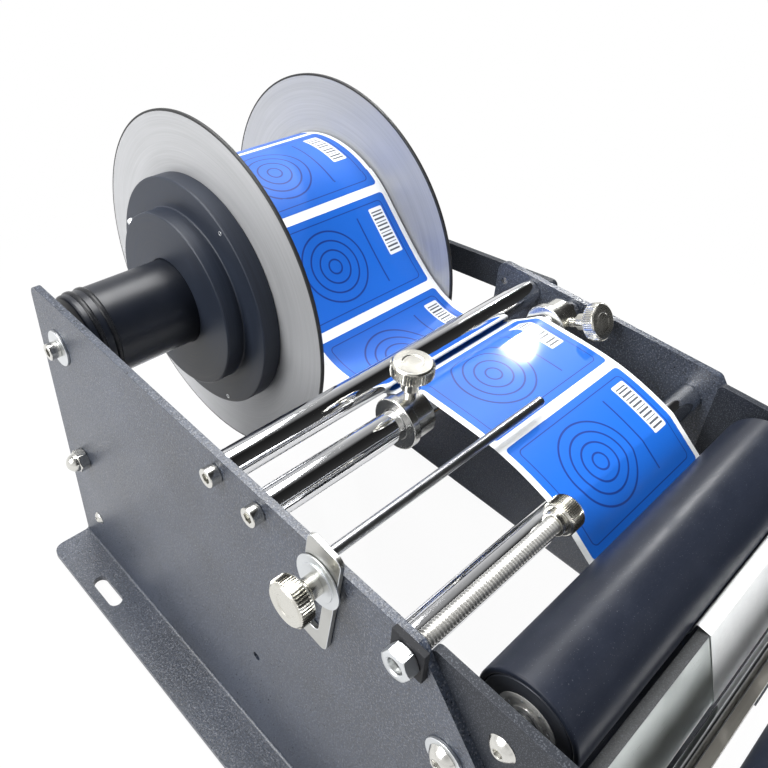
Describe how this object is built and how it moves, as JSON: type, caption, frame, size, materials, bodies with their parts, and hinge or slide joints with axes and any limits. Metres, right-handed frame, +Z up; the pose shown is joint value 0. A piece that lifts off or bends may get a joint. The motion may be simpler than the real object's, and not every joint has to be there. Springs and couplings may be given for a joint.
{
  "type": "manual bottle labelling machine",
  "caption": "Bench-top hand-cranked labelling machine for round bottles: label spindle with side discs, guide rods, rubber bottle rollers and peel plate between two folded side plates",
  "frame": {"origin": "middle of the bounding box on the bench plane", "axes": "+X along the rollers from the left plate to the right, +Y to the label roll at the rear, +Z up"},
  "size_m": [0.3562, 0.5454, 0.2965],
  "materials": {
    "coat": "textured dark grey powder coat",
    "chrome": "polished",
    "zinc": "bright zinc plate",
    "steel": "ground steel",
    "disc": "satin",
    "black_plastic": "matte black",
    "rubber": "smooth black rubber",
    "peel": "polished stainless sheet",
    "black_bar": "black",
    "bronze": "sintered bronze",
    "liner": "coated white backing paper",
    "label": "printed blue paper",
    "core": "wound board",
    "grip": "smooth black",
    "slide": "plain sheet"
  },
  "bodies": {
    "frame": {"left_side_plate": "coat", "right_side_plate": "coat", "left_roller_bracket": "coat", "right_roller_bracket": "coat", "bracket_screws": "zinc", "rear_guide_rod": "chrome", "middle_guide_rod": "chrome", "front_guide_rod": "chrome", "cap_screws": "zinc", "washers": "zinc", "spindle_axle": "steel", "spindle_arm": "coat", "roller_axles": "steel", "axle_screws": "zinc", "peel_plate": "peel", "peel_support": "steel", "front_bar": "black_bar", "liner_rod": "chrome", "small_screws": "zinc", "drive_bushings": "bronze", "pinch_axle": "steel", "rear_stud": "zinc", "acorn_nut": "zinc", "web_liner": "liner", "web_labels": "label", "edge_stud": "steel", "stud_nut": "zinc", "stud_pad": "black_bar"},
    "spindle": {"spindle_tube": "black_plastic", "spindle_bearings": "steel", "spindle_rings": "rubber", "right_hub": "black_plastic", "right_disc": "disc", "right_hub_screws": "zinc", "roll_core": "core", "label_roll": "label"},
    "left_flange": {"left_hub": "black_plastic", "left_disc": "disc", "left_hub_screws": "zinc"},
    "rear_roller": {"rear_roller_core": "black_plastic", "rear_roller_sleeve": "rubber", "rear_roller_bearings": "steel"},
    "front_roller": {"front_roller_core": "black_plastic", "front_roller_sleeve": "rubber", "front_roller_bearings": "steel"},
    "crank": {"drive_shaft": "steel", "drive_sleeve": "rubber", "crank_arm": "coat", "grip_bolt": "steel"},
    "grip": {"crank_grip": "grip"},
    "pinch": {"pinch_roller": "steel"},
    "left_guide": {"left_collar": "chrome"},
    "left_guide_screw": {"left_collar_screw": "zinc"},
    "right_guide": {"right_collar": "chrome"},
    "right_guide_screw": {"right_collar_screw": "zinc"},
    "pointer": {"pointer_slide": "slide", "pointer_rod": "steel"},
    "pointer_clamp": {"pointer_screw": "zinc"},
    "edge_stop": {"edge_nut": "zinc"}
  },
  "joints": [
    {"name": "spindle_spin", "type": "hinge", "parent": "frame", "child": "spindle", "pos_m": [-0.04915, 0.15925, 0.183], "axis": [1, 0, 0], "continuous": true},
    {"name": "left_flange_slide", "type": "slide", "parent": "spindle", "child": "left_flange", "axis": [1, 0, 0], "range_m": [-0.04, 0]},
    {"name": "rear_roller_spin", "type": "hinge", "parent": "frame", "child": "rear_roller", "pos_m": [-0.04915, -0.16125, 0.192], "axis": [1, 0, 0], "continuous": true},
    {"name": "front_roller_spin", "type": "hinge", "parent": "frame", "child": "front_roller", "pos_m": [-0.04915, -0.24725, 0.192], "axis": [1, 0, 0], "continuous": true},
    {"name": "crank_turn", "type": "hinge", "parent": "frame", "child": "crank", "pos_m": [0.08685, -0.17975, 0.11], "axis": [1, 0, 0], "continuous": true},
    {"name": "grip_spin", "type": "hinge", "parent": "crank", "child": "grip", "pos_m": [0.10385, -0.17975, 0.03], "axis": [1, 0, 0], "continuous": true},
    {"name": "pinch_spin", "type": "hinge", "parent": "frame", "child": "pinch", "pos_m": [-0.04915, -0.20655, 0.11], "axis": [1, 0, 0], "continuous": true},
    {"name": "left_guide_slide", "type": "slide", "parent": "frame", "child": "left_guide", "axis": [1, 0, 0], "range_m": [-0.06, 0]},
    {"name": "left_guide_clamp", "type": "hinge", "parent": "left_guide", "child": "left_guide_screw", "pos_m": [-0.05865, -0.02625, 0.231], "axis": [0, 0, 1], "range_deg": [0, 360]},
    {"name": "right_guide_slide", "type": "slide", "parent": "frame", "child": "right_guide", "axis": [1, 0, 0], "range_m": [-0.0015, 0.003]},
    {"name": "right_guide_clamp", "type": "hinge", "parent": "right_guide", "child": "right_guide_screw", "pos_m": [0.06635, -0.04963, 0.2175], "axis": [0, -0.866, 0.5], "range_deg": [0, 360]},
    {"name": "pointer_slide", "type": "slide", "parent": "frame", "child": "pointer", "axis": [0, -0.1132, 0.9936], "range_m": [0, 0.031]},
    {"name": "pointer_clamp_turn", "type": "hinge", "parent": "frame", "child": "pointer_clamp", "pos_m": [-0.15115, -0.06975, 0.202], "axis": [-1, 0, 0], "range_deg": [0, 360]},
    {"name": "edge_stop_slide", "type": "slide", "parent": "frame", "child": "edge_stop", "axis": [1, 0, 0], "range_m": [-0.07, 0]}
  ],
  "couplings": [
    {"joint": "rear_roller_spin", "follows": "spindle_spin", "ratio": -3.2609},
    {"joint": "crank_turn", "follows": "spindle_spin", "ratio": 4.6875},
    {"joint": "pinch_spin", "follows": "spindle_spin", "ratio": -7.5}
  ]
}
